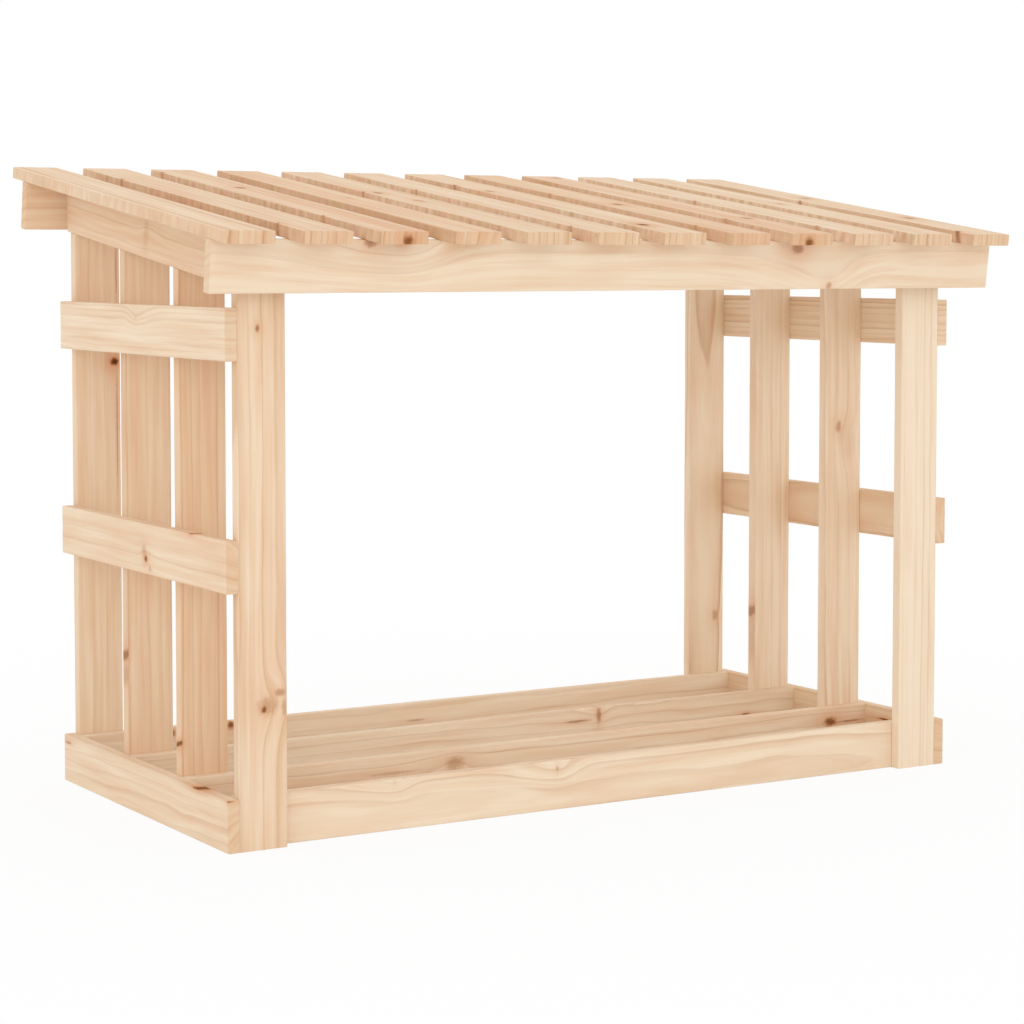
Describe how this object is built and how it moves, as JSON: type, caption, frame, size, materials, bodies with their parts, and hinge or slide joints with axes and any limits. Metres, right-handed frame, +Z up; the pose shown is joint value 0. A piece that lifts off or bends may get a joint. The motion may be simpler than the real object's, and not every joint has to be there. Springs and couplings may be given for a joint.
{
  "type": "log store",
  "caption": "Open timber log store with railed end panels, base boards on edge and a lean-to roof of spaced slats on rafters and fascias, for stacking firewood.",
  "frame": {"origin": "on the ground, under the middle of the whole store", "axes": "+X along the store to the right seen from the front, +Y to the back, +Z up"},
  "size_m": [1.101, 0.641, 0.7803],
  "materials": {
    "planed_pine": "planed, unfinished"
  },
  "bodies": {
    "root": {"left_front_post": "planed_pine", "left_front_upright": "planed_pine", "left_back_upright": "planed_pine", "left_back_post": "planed_pine", "right_front_post": "planed_pine", "right_front_upright": "planed_pine", "right_back_upright": "planed_pine", "right_back_post": "planed_pine", "left_bottom_rail": "planed_pine", "left_middle_rail": "planed_pine", "left_top_rail": "planed_pine", "right_bottom_rail": "planed_pine", "right_middle_rail": "planed_pine", "right_top_rail": "planed_pine", "front_base_board": "planed_pine", "front_bearer": "planed_pine", "back_bearer": "planed_pine", "back_base_board": "planed_pine", "left_rafter": "planed_pine", "right_rafter": "planed_pine", "front_fascia": "planed_pine", "back_fascia": "planed_pine", "roof_slat_01": "planed_pine", "roof_slat_02": "planed_pine", "roof_slat_03": "planed_pine", "roof_slat_04": "planed_pine", "roof_slat_05": "planed_pine", "roof_slat_06": "planed_pine", "roof_slat_07": "planed_pine", "roof_slat_08": "planed_pine", "roof_slat_09": "planed_pine", "roof_slat_10": "planed_pine", "roof_slat_11": "planed_pine", "roof_slat_12": "planed_pine"}
  },
  "joints": []
}
